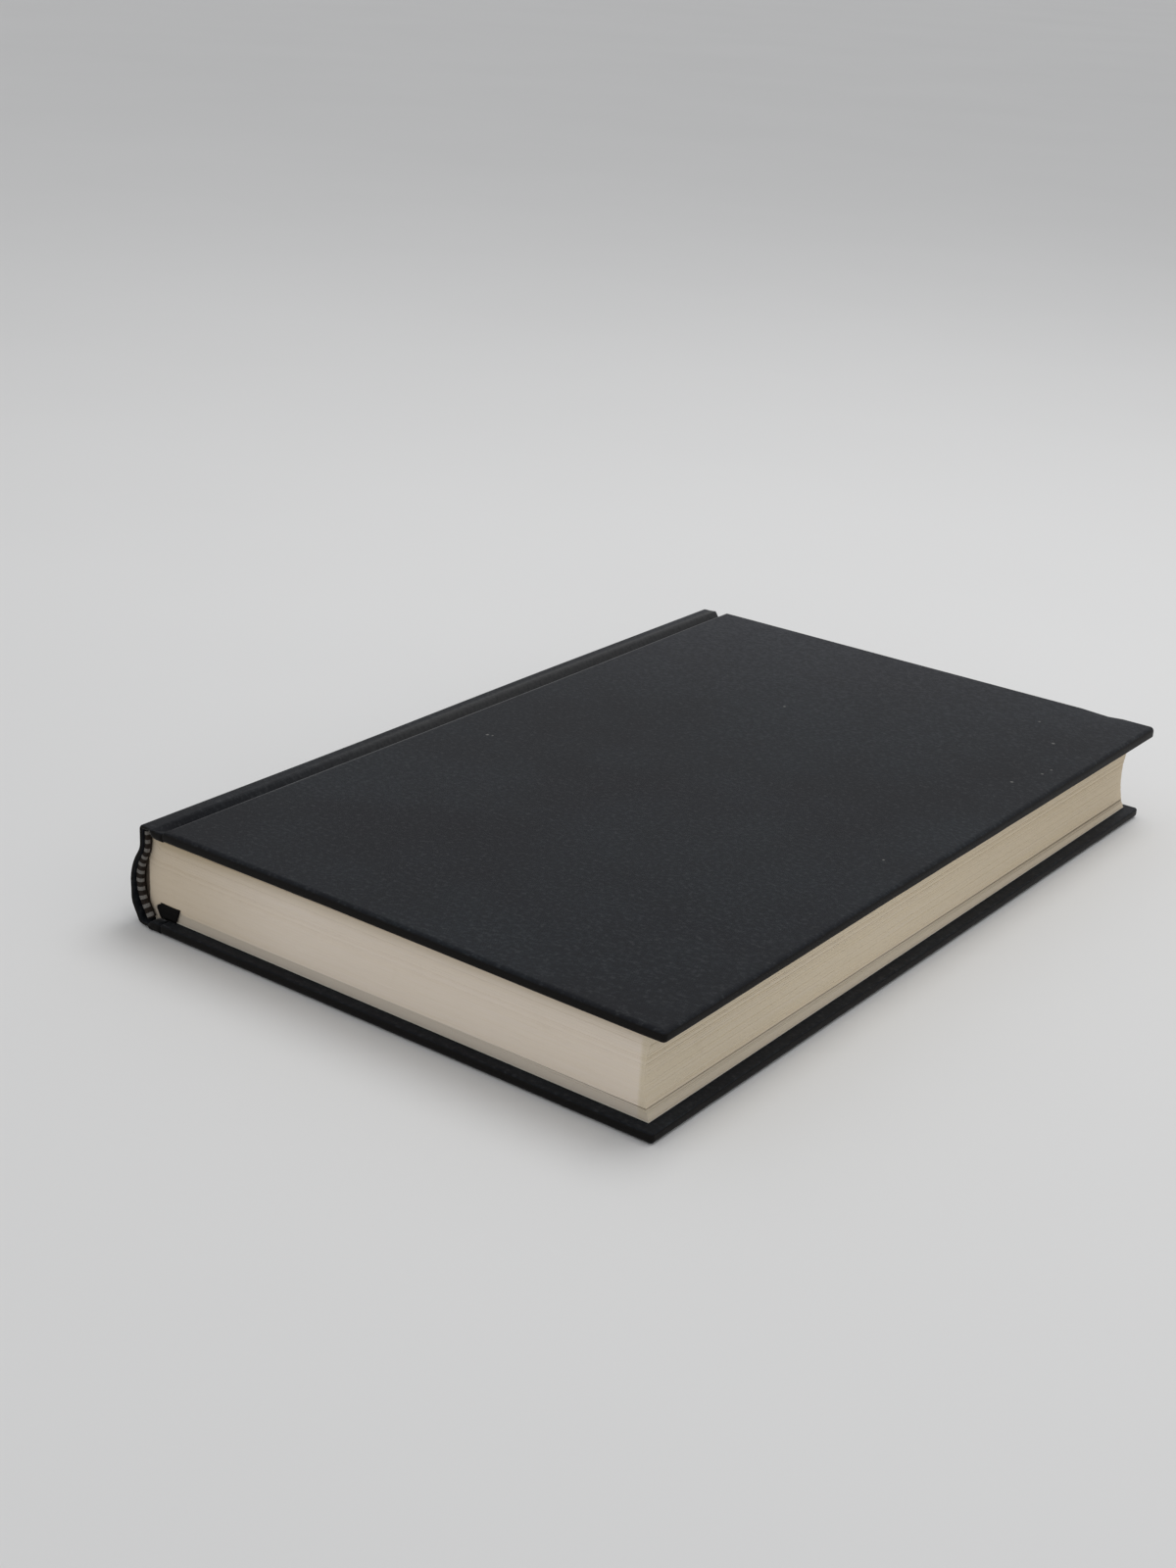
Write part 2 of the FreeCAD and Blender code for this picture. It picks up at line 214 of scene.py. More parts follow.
# %% One material
class Paint:
    """One material and its nodes."""

    def __init__(self, name):
        self.material = bpy.data.materials.new(name)
        self.material.use_nodes = True
        self.tree = self.material.node_tree
        self.tree.nodes.clear()

    def node(self, kind, settings=None, sockets=None, out=0):
        """Adds a node, sets it up, fills its sockets and gives one of its outputs."""
        made = self.tree.nodes.new("ShaderNode" + kind)
        for name, value in (settings or {}).items():
            setattr(made, name, value)
        for key, value in (sockets or {}).items():
            if isinstance(value, Signal):
                self.tree.links.new(value.socket, made.inputs[key])
            else:
                made.inputs[key].default_value = value
        return Signal(self, made.outputs[out])

    def place(self):
        """The point on the surface in millimetres, as a vector and as x, y and z."""
        point = self.node("TexCoord", out="Object")
        scaled = self.node("VectorMath", {"operation": "SCALE"}, {0: point, "Scale": 1000.0})
        axes = [self.node("SeparateXYZ", None, {0: scaled}, out=axis) for axis in range(3)]
        return scaled, axes

    def vector(self, x, y, z):
        return self.node("CombineXYZ", None, {0: x, 1: y, 2: z})

    def noise(self, point, size, detail=3.0, roughness=0.55):
        """Cloudy noise from 0 to 1 whose patches are about a size across."""
        sockets = {"Vector": point, "Scale": 1.0 / size, "Detail": detail}
        sockets["Roughness"] = roughness
        return self.node("TexNoise", None, sockets)

    def mix(self, share, first, second):
        """A share of the second colour over the first."""
        colours = {
            0: share,
            6: first if isinstance(first, Signal) else (*first, 1.0),
            7: second if isinstance(second, Signal) else (*second, 1.0),
        }
        return self.node("Mix", {"data_type": "RGBA"}, colours, out=2)

    def finish(self, colour, roughness, height=None, depth=0.05, **constants):
        """Joins the signals to a Principled shader. The depth of the bump is in millimetres."""
        sockets = {"Base Color": colour, "Roughness": roughness}
        if height is not None:
            bump = {"Height": height, "Distance": depth * MM, "Strength": 1.0}
            sockets["Normal"] = self.node("Bump", None, bump)
        for name, value in constants.items():
            sockets[name.replace("_", " ").title().replace("Ior", "IOR")] = value
        shader = self.node("BsdfPrincipled", None, sockets)
        output = self.tree.nodes.new("ShaderNodeOutputMaterial")
        self.tree.links.new(shader.socket, output.inputs["Surface"])
        print("material:", self.material.name, "with", len(self.tree.nodes), "nodes")
        return self.material


# %% [markdown]
# ## Case cloth
# The cover is a matt, dark charcoal book cloth with a very fine plain weave, slightly
# cloudy: bluish in the middle, darker at the near end, greyer and paler at the head end,
# where a painted sheen stands for light glancing off it from behind. Painted shade makes its
# side faces nearly black, a painted highlight runs along the front board's spine edge, and
# painted light pales the shade in the groove beside it.
# The weave is two crossed sine waves, jittered so that no thread is straight. The clouds
# are noise of several sizes, and a few specks of dust lie where the photo shows them.

# %% Colours of the case cloth
CLOTH_DARK = (0.0062, 0.0067, 0.0090)
CLOTH_BLUE = (0.0112, 0.0142, 0.0180)
CLOTH_SHEEN_PURPLE = (0.0268, 0.0288, 0.0350)
CLOTH_EDGE_SHADE = (0.0055, 0.0048, 0.0043)
CLOTH_RUBBED = (0.046, 0.047, 0.050)
CLOTH_RIM_HIGHLIGHT = (0.066, 0.066, 0.068)
CLOTH_GROOVE_LIGHT = (0.046, 0.046, 0.046)
FLECK = (0.16, 0.16, 0.15)
THREAD_PITCH = 0.42
RIM_HIGHLIGHT_LINE = -61.3
# x, y and size of each speck, in millimetres
DUST = (
    (-48.7, -15.2, 0.50), (-47.4, -14.8, 0.35), (-6.4, 54.8, 0.50), (47.9, 92.5, 0.45),
    (57.7, 80.4, 0.60), (65.1, 59.1, 0.45), (65.6, 63.1, 0.40), (62.0, 49.0, 0.55),
    (62.4, -13.6, 0.40),
)
print("specks of dust:", len(DUST))

# %% Case cloth material
def make_case_cloth():
    paint = Paint("case_cloth_charcoal")
    point, (x, y, z) = paint.place()
    clouds = paint.noise(point, 38.0, detail=4.0)
    patches = paint.noise(point, 5.0, detail=4.0, roughness=0.6)
    slubs = paint.noise(paint.vector(x * 0.9, y * 1.1, z), 1.1, detail=3.0, roughness=0.65)
    grain = paint.noise(point, 0.55, detail=2.0)
    wander = (paint.noise(point, 6.0) - 0.5) * 0.8
    turn = 2 * math.pi / THREAD_PITCH
    warp = ((x + z + wander) * turn).sine()
    weft = ((y + wander) * turn).sine()
    weave = warp * weft * 0.5 + 0.5

    # broad clouds, and a painted sheen that pales the cloth towards the head end
    colour = paint.mix(clouds.rise(0.30, 0.70), CLOTH_DARK, CLOTH_BLUE)
    painted_head_sheen = (x * -0.45 + y).rise(30.0, 140.0)
    colour = paint.mix(painted_head_sheen * 0.75, colour, CLOTH_SHEEN_PURPLE)

    # patches, uneven threads and the weave itself
    colour = paint.mix(patches.rise(0.42, 0.75) * 0.25, colour, CLOTH_BLUE)
    colour = paint.mix(slubs.rise(0.58, 0.38) * 0.65, colour, CLOTH_DARK)
    colour = paint.mix(slubs.rise(0.50, 0.75) * 0.45, colour, CLOTH_RUBBED)
    colour = paint.mix((grain.rise(0.3, 0.8) * weave) * 0.12, colour, CLOTH_RUBBED)

    # painted shade: the covers' side faces are darkened to nearly black
    normal = paint.node("NewGeometry", out="Normal")
    upward = paint.node("SeparateXYZ", None, {0: normal}, out=2).abs()
    endward = paint.node("SeparateXYZ", None, {0: normal}, out=1).abs()
    shaded_side = x.rise(-63.4, -62.6).at_least(endward.rise(0.5, 0.8))
    colour = paint.mix(upward.rise(0.80, 0.35) * shaded_side, colour, CLOTH_EDGE_SHADE)

    # painted highlight, in patches, along the rounded spine edge of the front board, and
    # painted light in the groove beside it
    painted_rim_highlight = x.near(RIM_HIGHLIGHT_LINE, 1.0) * z.rise(24.2, 24.9)
    painted_rim_highlight = painted_rim_highlight * (0.6 + patches.rise(0.25, 0.6) * 0.4) * y.rise(-110.0, -60.0)
    colour = paint.mix(painted_rim_highlight, colour, CLOTH_RIM_HIGHLIGHT)
    # painted light: the groove wall is paled against the shade it lies in
    groove = x.rise(-61.9, -62.5) * x.rise(-67.6, -66.2) * z.rise(22.0, 23.0)
    groove = groove * y.rise(-109.0, 0.0) * endward.rise(0.6, 0.3)
    colour = paint.mix(groove * (0.55 + slubs.rise(0.30, 0.60) * 0.25), colour, CLOTH_GROOVE_LIGHT)

    for fleck_x, fleck_y, size in DUST:
        offset = paint.vector(x - fleck_x, y - fleck_y, 0.0)
        away = paint.node("VectorMath", {"operation": "LENGTH"}, {0: offset}, out=1)
        speck = away.rise(size, 0.4 * size) * z.rise(24.8, 25.2)
        colour = paint.mix(speck * 0.8, colour, FLECK)

    roughness = 0.56 + grain * 0.12
    height = weave * 0.6 + grain * 0.7
    return paint.finish(
        colour, roughness, height, depth=0.03,
        specular_ior_level=0.10, sheen_weight=0.16, sheen_roughness=0.3,
    )


case_cloth = make_case_cloth()

# %% [markdown]
# ## Leaves, end paper and the other papers
# The trimmed edges of the leaves show as long, fine streaks that follow each leaf. The page
# mesh carries a number that counts leaves from the bottom up, and the streaks are noise
# that changes quickly with that number and slowly along the leaf. Painted shade greys the
# last leaves and darkens the top ones under the front cover, the paper is browner towards
# the spine, and the very back of the leaves is dark brown.

# %% Paper materials
LEAF_WARM = (0.74, 0.63, 0.44)
LEAF_PALE = (0.80, 0.71, 0.61)
LEAF_LOW_SHADE = (0.50, 0.45, 0.38)
LEAF_SHADE = (0.52, 0.46, 0.36)
LEAF_BROWN = (0.56, 0.46, 0.32)
BACK_EDGE_DARK = (0.035, 0.022, 0.015)
LEAF_LINE = (0.16, 0.11, 0.065)
LEAF_COUNT = 96
PARTING_LEAF = 13


def make_leaves():
    paint = Paint("trimmed_leaves")
    point, (x, y, _) = paint.place()
    leaf = paint.node("Attribute", {"attribute_name": "leaf"}, out="Fac")
    along = paint.vector(x * 0.02, y * 0.02, leaf * 2.2)
    streaks = paint.noise(along, 1.0, detail=3.0, roughness=0.7)
    fine = paint.noise(paint.vector(x * 0.08, y * 0.08, leaf * 9.0), 1.0, detail=2.0)
    blots = paint.noise(point, 9.0, detail=3.0)
    fore_edge = x.rise(64.5, 65.6)
    contrast = 0.25 + fore_edge * 0.45
    colour = paint.mix(streaks.rise(0.3, 0.7) * contrast, LEAF_PALE, LEAF_WARM)
    # the fore edge is warmer and darker: partly yellowed paper, partly painted shade
    colour = paint.mix(fore_edge * 0.5, colour, LEAF_WARM)

    # browner towards the spine, painted shade on the top leaves under the front cover's
    # overhang, and dark brown at the very back of the leaves
    painted_overhang_shade = leaf.rise(76.0, LEAF_COUNT)
    brown_and_shade = x.rise(-20.0, -66.5) * 0.60 + (1 - fore_edge) * painted_overhang_shade * 0.80
    colour = paint.mix(brown_and_shade, colour, LEAF_BROWN)
    colour = paint.mix(x.rise(-68.9, -69.4) * 0.9, colour, BACK_EDGE_DARK)

    # painted shade greys the last leaves, and darker lines run across the fore edge: the one at
    # the parting is painted shade in its gap
    painted_low_shade = leaf.rise(PARTING_LEAF + 0.6, PARTING_LEAF - 0.6)
    colour = paint.mix(painted_low_shade * (0.65 - fore_edge * 0.20), colour, LEAF_LOW_SHADE)
    colour = paint.mix(fore_edge * y.rise(-20.0, -110.0) * 0.30, colour, LEAF_SHADE)
    lines = leaf.near(12.6, 1.8).at_least(leaf.near(8.8, 1.1) * 0.8)
    far_part = y.rise(-30.0, 100.0)
    colour = paint.mix(fore_edge * far_part * 0.35, colour, LEAF_BROWN)
    colour = paint.mix(lines * fore_edge * (0.16 + far_part * 0.30), colour, LEAF_LINE)

    dark = fine.rise(0.62, 0.8) * contrast * 0.3 + blots.rise(0.62, 0.78) * 0.12
    colour = paint.mix(dark, colour, LEAF_BROWN)
    height = (fine + streaks * 0.5) * contrast
    return paint.finish(colour, 0.86, height, depth=0.04, specular_ior_level=0.25)


def make_paper(name, base, deep, size=1.6, speck=0.0):
    """Uncoated sheet with cloudy fibres, and flecks where speck is above 0."""
    paint = Paint(name)
    point, _ = paint.place()
    clouds = paint.noise(point, 14.0, detail=4.0)
    fibre = paint.noise(point, size, detail=4.0, roughness=0.7)
    colour = paint.mix(clouds.rise(0.3, 0.7) * 0.35, base, deep)
    colour = paint.mix(fibre.rise(0.5, 0.8) * 0.35, colour, deep)
    if speck:
        flecks = paint.noise(point, 0.7, detail=1.0)
        fleck_colour = [value * 0.35 for value in deep]
        colour = paint.mix(flecks.rise(0.66, 0.74) * speck, colour, fleck_colour)
    return paint.finish(colour, 0.82 + fibre * 0.12, fibre, depth=0.02, specular_ior_level=0.3)


leaves = make_leaves()
end_paper = make_paper("end_paper_cream", (0.66, 0.62, 0.54), (0.56, 0.51, 0.42))
greyboard = make_paper("greyboard_flecked", (0.34, 0.32, 0.28), (0.24, 0.22, 0.19), 0.9, 0.5)
spine_card = make_paper("spine_card_manila", (0.47, 0.40, 0.29), (0.36, 0.30, 0.21), 1.2, 0.3)
kraft = make_paper("lining_kraft", (0.36, 0.25, 0.15), (0.26, 0.18, 0.10), 1.0, 0.2)

# %% [markdown]
# ## Mull, headband silk and ribbon
# Mull is an open gauze: dark gaps between crossed cotton threads. The headband's threads are
# modelled, so its two silks only need a fibre's sheen. The ribbon is black satin with fine
# ribs across it.

# %% Thread and fabric materials
GAUZE_PITCH = 0.9
GAUZE_GAP = (0.30, 0.26, 0.20)
GAUZE_THREAD = (0.70, 0.67, 0.58)
RIB_PITCH = 0.35
SATIN_DARK = (0.0030, 0.0026, 0.0026)
SATIN_LINT = (0.006, 0.0055, 0.0055)


def make_mull():
    paint = Paint("mull_gauze")
    point, (x, y, z) = paint.place()
    wander = paint.noise(point, 3.0) * 0.7
    turn = 2 * math.pi / GAUZE_PITCH
    across = ((x + z + wander) * turn).sine().rise(0.1, 0.75)
    down = ((y + wander) * turn).sine().rise(0.1, 0.75)
    threads = across.at_least(down)
    colour = paint.mix(threads, GAUZE_GAP, GAUZE_THREAD)
    return paint.finish(colour, 0.9, threads, depth=0.08, specular_ior_level=0.2)


def make_silk(name, colour, deep):
    paint = Paint(name)
    _, (x, y, z) = paint.place()
    fibres = paint.noise(paint.vector(x * 3.0, y * 0.6, z * 3.0), 0.5, detail=3.0)
    tone = paint.mix(fibres.rise(0.3, 0.7), deep, colour)
    return paint.finish(tone, 0.6 + fibres * 0.2, fibres, depth=0.02, specular_ior_level=0.15)


def make_ribbon_satin():
    paint = Paint("ribbon_satin_black")
    point, (_, y, z) = paint.place()
    ribs = ((z + y) * (2 * math.pi / RIB_PITCH)).sine() * 0.5 + 0.5
    lint = paint.noise(point, 1.2, detail=3.0)
    tone = paint.mix(lint.rise(0.4, 0.8) * 0.5, SATIN_DARK, SATIN_LINT)
    return paint.finish(tone, 0.50 + lint * 0.2, ribs, depth=0.02, specular_ior_level=0.08)


mull = make_mull()
# the white silk is given a mid grey: painted shade of the hollow the headband sits in
shaded_white_silk = make_silk("headband_white_silk_painted_shade", (0.200, 0.190, 0.175), (0.120, 0.112, 0.105))
black_silk = make_silk("headband_black_silk", (0.022, 0.015, 0.011), (0.010, 0.007, 0.005))
satin = make_ribbon_satin()

# %% [markdown]
# ## Board covers
# Each board is wrapped in cloth: over the outer face, round three edges and 15 mm in on the
# inside, with the inside left open in the middle. That is a tray, so it is drawn as rings:
# each ring is a rounded rectangle, from the rim of the opening, round the edge, to the
# middle of the outer face. A thickness is added afterwards, towards the board.

# %% Rings with rounded corners
SIDE_STEPS = (34, 56)
CORNER_STEPS = 6


def rounded_ring(x_low, x_high, y_half, fore_radius, spine_radius, z):
    """Points of a rectangle with rounded corners, the same number for every size."""
    points = []
    fore, spine = max(fore_radius, 0.0), max(spine_radius, 0.0)
    corners = [
        (x_high - fore, y_half - fore, fore, 0),
        (x_low + spine, y_half - spine, spine, 90),
        (x_low + spine, -y_half + spine, spine, 180),
        (x_high - fore, -y_half + fore, fore, 270),
    ]
    ends = []
    for cx, cy, radius, turn in corners:
        arc = []
        for step in range(CORNER_STEPS + 1):
            angle = math.radians(turn + 90 * step / CORNER_STEPS)
            arc.append((cx + radius * math.cos(angle), cy + radius * math.sin(angle)))
        ends.append(arc)
    for index, arc in enumerate(ends):
        points += arc
        start, end = arc[-1], ends[(index + 1) % 4][0]
        steps = SIDE_STEPS[index % 2]
        for step in range(1, steps):
            share = step / steps
            px = start[0] + (end[0] - start[0]) * share
            py = start[1] + (end[1] - start[1]) * share
            points.append((px, py))
    return [(px, py, z) for px, py in points]


print("points in a ring:", len(rounded_ring(0.0, 1.0, 1.0, 0.1, 0.1, 0.0)))


# %% [markdown]
# The rings run along the inside, round a tight inner edge and a softer outer edge, and over
# the outer face. The board inside follows the same rings, one cloth thickness smaller, so
# that it never shows through.

# %% Profile of a cover
TURN_IN = 15.0
SPINE_LIP = 0.3
FORE_CORNER = 1.0
SPINE_CORNER = 0.4
OUTER_ROUND = 1.15
INNER_ROUND = 0.45
CLOTH = 0.25
INNER_STEPS = 5
OUTER_STEPS = 7
INSIDE_INSETS = (TURN_IN, 9.0, 5.0, 3.0, 1.6, 0.9)
FACE_INSETS = (1.5, 2.2, 3.5, 5.5, 8.0, 12.0, 17.0, 23.0, 30.0, 38.0, 46.0, 54.0, 61.0)
INSIDE_RINGS = len(INSIDE_INSETS) + INNER_STEPS + 1


def plate_profile(z_inside, z_outside, inner_round, outer_round):
    """Inset and height of each ring, from the inside round the edge to the outer face."""
    out = 1.0 if z_outside > z_inside else -1.0
    profile = [(inset, z_inside) for inset in INSIDE_INSETS]
    for step in range(INNER_STEPS + 1):
        angle = math.radians(90 * step / INNER_STEPS)
        inset = inner_round * (1 - math.sin(angle))
        profile.append((inset, z_inside + out * inner_round * (1 - math.cos(angle))))
    for step in range(OUTER_STEPS + 1):
        angle = math.radians(90 * step / OUTER_STEPS)
        inset = outer_round * (1 - math.cos(angle))
        profile.append((inset, z_outside - out * outer_round * (1 - math.sin(angle))))
    return profile + [(inset, z_outside) for inset in FACE_INSETS]


def make_plate(name, node, front, wear, material, cloth):
    """The cloth tray of a cover, or the solid board inside it."""
    low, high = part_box(node)
    x_low, x_high, y_half = (round(v / MM, 2) for v in (low.x, high.x, high.y))
    z_inside, z_outside = (low.z / MM, high.z / MM) if front else (high.z / MM, low.z / MM)
    under = 0.0 if cloth else CLOTH
    profile = plate_profile(z_inside, z_outside, INNER_ROUND - under, OUTER_ROUND - under)
    points = []
    for index, (inset, z) in enumerate(profile):
        spine_inset = min(inset, SPINE_LIP) if cloth and index < INSIDE_RINGS else inset
        points += rounded_ring(
            x_low + spine_inset,
            x_high - inset,
            y_half - inset,
            FORE_CORNER - under - inset,
            SPINE_CORNER - under - inset,
            z,
        )
    size = len(points) // len(profile)
    faces = ring_faces(len(profile), size)
    faces.append(tuple(range((len(profile) - 1) * size, len(profile) * size)))
    if not cloth:
        faces.append(tuple(range(size)))
    points = [wear(*point) for point in points]
    piece = make_piece(name, points, faces, material)
    tidy_mesh(piece)
    if cloth:
        thicken(piece, CLOTH)
    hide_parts(node)
    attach(piece, "front_cover" if front else "back_cover")
    report(piece)


print("rings of a cover:", len(plate_profile(0.0, 2.5, INNER_ROUND, OUTER_ROUND)))

# %% [markdown]
# The front cover in the photo isn't perfect: its outer face stands a little high at the
# head, it hangs at the near corner, and its head edge is knocked near the fore corner. The
# wrapped edges of both covers also wander a little. All are small shifts of the points.

# %% The two covers
COVER_END = 111.0
EDGE_ZONE = 109.0
INSIDE_LEVEL = 22.9
TOP_LEVEL = 25.4
HEAD_RISE = 0.35
CORNER_DROOP = 0.60
RIM_DROOP = 0.5
KNOCK_X = 58.0


def draw_in(x, y, layer, fore_zone):
    """A wrapped edge draws in by up to a tenth of a millimetre, unevenly."""
    draw = abs(noise.noise(Vector((x, y, layer)) * 0.12) * 0.10)
    if abs(y) > EDGE_ZONE:
        y -= math.copysign(draw, y)
    if x > fore_zone:
        x -= draw
    return x, y


def front_wear(x, y, z):
    """The warp, the hanging corner and the knock of the front cover."""
    flat = noise.noise(Vector((x, y, z)) * 0.03) * 0.05
    knock = swell(x, KNOCK_X, 4.5) * swell(y, COVER_END, 5.0)
    outer = ease(z, INSIDE_LEVEL, TOP_LEVEL)
    towards_corner = ease(x, -20.0, 71.0) * ease(-y, 20.0, COVER_END)
    rim = max(ease(x, 67.8, 70.3), ease(-y, 108.0, 110.3)) * ease(z, 23.8, INSIDE_LEVEL)
    droop = CORNER_DROOP * towards_corner
    rise = HEAD_RISE * ease(y, 10.0, COVER_END)
    x, y = draw_in(x, y, 9.0, 70.0)
    height = z - 0.30 * knock - RIM_DROOP * towards_corner * rim
    return x, y - 0.35 * knock, height + (flat + rise - droop - 0.02) * outer


def back_wear(x, y, z):
    """The back cover lies flat on the table, so only its edges wander."""
    x, y = draw_in(x, y, 3.0, 69.0)
    return x, y, max(z, 0.0)


make_plate("front_cover_case", "front_cover_cloth", True, front_wear, case_cloth, True)
make_plate("back_cover_case", "back_cover_cloth", False, back_wear, case_cloth, True)
make_plate("front_board_grey", "front_board", True, front_wear, greyboard, False)
make_plate("back_board_grey", "back_board", False, back_wear, greyboard, False)

# %% [markdown]
# ## The spine of the case
# One strip of cloth runs from board to board: down into the front groove, over the shoulder,
# round the back and into the other groove. At head and tail it is folded in over a card
# strip. Each cover turns at its own groove, and a piece can bend at one hinge only, so the
# strip is two pieces that meet along the middle of the back.

# %% Outline of the spine
# x, height and rounding radius of each corner, in millimetres
SPINE_CORNERS = [
    (-61.95, 23.10, 0.00),
    (-64.200, 23.10, 0.60),
    (-65.500, 24.75, 1.10),
    (-68.675, 24.75, 1.20),
    (-68.675, 18.945, 5.00),
    (-74.436, 10.672, 13.40),
    (-68.650, 0.650, 1.20),
    (-65.925, 0.650, 0.80),
    (-65.425, 2.300, 0.30),
    (-63.15, 2.300, 0.00),
]
MIDDLE_HEIGHT = 10.0


def filleted(corners, arc_step=7.0, run_step=1.2):
    """Points along a chain of corners, each rounded by its radius."""
    line = [Vector(corners[0][:2])]
    for before, corner, after in zip(corners, corners[1:], corners[2:]):
        here, radius = Vector(corner[:2]), corner[2]
        into = (here - Vector(before[:2])).normalized()
        out = (Vector(after[:2]) - here).normalized()
        side = 1.0 if into.x * out.y - into.y * out.x > 0 else -1.0
        turn = math.acos(max(-1.0, min(1.0, into.dot(out))))
        start = here - into * radius * math.tan(turn / 2)
        centre = start + Vector((-into.y, into.x)) * side * radius
        steps = max(2, math.ceil(math.degrees(turn) / arc_step)) if radius else 0
        for step in range(steps + 1):
            spoke = start - centre
            angle = side * turn * step / max(steps, 1)
            spoke.rotate(Matrix.Rotation(angle, 2))
            line.append(centre + spoke)
    line.append(Vector(corners[-1][:2]))
    dense = [line[0]]
    for a, b in zip(line, line[1:]):
        steps = max(1, math.ceil((b - a).length / run_step))
        if (b - a).length > 1e-4:
            dense += [a.lerp(b, step / steps) for step in range(1, steps + 1)]
    return dense


def inward(line):
    """Direction towards the leaves at each point of a chain."""
    found = []
    for index in range(len(line)):
        ahead = line[min(index + 1, len(line) - 1)] - line[max(index - 1, 0)]
        found.append(Vector((-ahead.y, ahead.x)).normalized())
    return found


spine_line = filleted(SPINE_CORNERS)
print("spine outline:", len(spine_line), "points")

# %% [markdown]
# The rows of the strip run from the turned-in end inside, round the fold at the tail, along
# the outside and round the fold at the head. The back of the strip is folded in by 14 mm.
# In the joints only a short end is folded in, and at the tail it fills the front joint.

# %% Rows of the spine cloth
FOLD_RADIUS = 0.5
BULGE_SPREAD = 0.97
LOW_SPREAD = 0.65
MIDDLE_ROWS = 56


def strip_rows():
    """(end, y of the fold, length turned in, share of the fold's depth) of each row."""
    fold_y = COVER_END - FOLD_RADIUS
    end = [(1, fold_y, share, 1.0) for share in (1.0, 0.5, 0.15)]
    for angle in range(180, -1, -15):
        turn = math.radians(angle)
        end.append((1, fold_y + FOLD_RADIUS * math.sin(turn), 0.0, (1 - math.cos(turn)) / 2))
    tail = [(-1, y, share, depth) for _, y, share, depth in end]
    middle = []
    for step in range(1, MIDDLE_ROWS):
        middle.append((1, fold_y * (2 * step / MIDDLE_ROWS - 1), 0.0, 0.0))
    return tail + middle + end[::-1]


def spread(x, z):
    """How far the hollow back stands out from the leaves beyond its drawn line."""
    low_part = LOW_SPREAD * ease(z, 9.0, 4.5) * ease(z, 0.0, 1.0) * ease(x, -66.5, -68.6)
    return BULGE_SPREAD * ease(x, -65.8, -67.6) * ease(z, 0.0, 1.4) + low_part


print("rows of the spine cloth:", len(strip_rows()))

# %% [markdown]
# Both halves are made alike. In a joint the end of the cloth is lifted or lowered to fill
# it. The shoulder sags a little, the hollow back ripples, and the folded ends stand back by
# half a millimetre. What differs between the two joints is kept in tables keyed by front.

# %% Spine cloth
SPINE_TURN_IN = 14.0
JOINT_TURN_IN = 2.3
JOINT_FILL = {True: 1.5, False: -2.1}
HEAD_FILL = 0.2
FOLD_HANG = {True: 0.5, False: 0.1}
LOWEST = 0.20
HIGHEST = 24.75
SHOULDER_SAG = 0.35
END_RECESS = 0.5


def make_spine_half(name, line, front):
    sides = inward(line)
    rows = strip_rows()
    points = []
    for here, side in zip(line, sides):
        joint = ease(here.x, -66.8, -65.2)
        short = ease(here.x, -68.2, -67.2)
        turned = (SPINE_TURN_IN - FOLD_RADIUS) * (1 - short) + JOINT_TURN_IN * short
        for end, fold_y, share, fold in rows:
            y = end * (fold_y - share * turned)
            share_filled = 1.0 if end < 0 or not front else HEAD_FILL
            filled = JOINT_FILL[front] * joint * share_filled
            filled -= SHOULDER_SAG * (1 - joint) * ease(here.y, 2.0, 0.9)
            filled *= ease(abs(y), 101.0, 107.5)
            filled = min(max(filled, LOWEST - here.y), max(HIGHEST - here.y, 0.0))
            hang = abs(filled) + FOLD_HANG[front]
            depth = fold * ((1 - joint) * 2 * FOLD_RADIUS + joint * hang)
            ripple = noise.noise(Vector((here.x * 0.2, y * 0.05, here.y * 0.2))) * 0.08
            ripple = ripple * swell(here.y, 11.0, 13.0)
            spot = here + side * (depth + abs(ripple))
            lift = 0.5 * ease(y, -60.0, 40.0) * ease(here.y, 14.0, 24.0)
            lift *= ease(here.x, -63.0, -65.4)
            recess = math.copysign(END_RECESS * (1 - joint) * ease(abs(y), 98.0, 109.0), y)
            points.append((spot.x - spread(here.x, here.y), y - recess, spot.y + lift + filled))
    faces = grid_faces(len(line), len(rows))
    piece = make_piece(name, points, faces, case_cloth, sharp=60.0)
    thicken(piece, CLOTH)
    return piece


# %% The two halves of the spine
def middle_index(line, behind):
    """Index of the point at middle height, among those behind an x."""
    back = [i for i in range(len(line)) if line[i].x < behind]
    return min(back, key=lambda i: abs(line[i].y - MIDDLE_HEIGHT))


middle = middle_index(spine_line, -70)
halves = {True: spine_line[: middle + 1], False: spine_line[middle:]}


def bend_at_joint(piece):
    """Bakes the piece's place into its points."""
    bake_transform(piece)


for front, name in ((True, "spine_cloth_front"), (False, "spine_cloth_back")):
    half = make_spine_half(name, halves[front], front)
    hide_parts("spine_cloth")
    bend_at_joint(half)
    report(half)

# %% [markdown]
# ## Card, gauze and end papers behind the cloth
# A strip of card stiffens the back of the case. Under the cloth a strip of gauze crosses
# each joint, and under that the end paper goes from the fly leaf to the board. They show
# when a cover is open, so each is made as a thin sheet.

# %% Card strip
def make_sheet(name, line, y_end, thickness, material, steps=24):
    """Thin sheet along a chain, the same at every y."""
    points = []
    for here in line:
        for step in range(steps + 1):
            points.append((here.x, y_end * (2 * step / steps - 1), here.y))
    faces = grid_faces(len(line), steps + 1)
    piece = make_piece(name, points, faces, material, sharp=60.0)
    thicken(piece, thickness)
    return piece


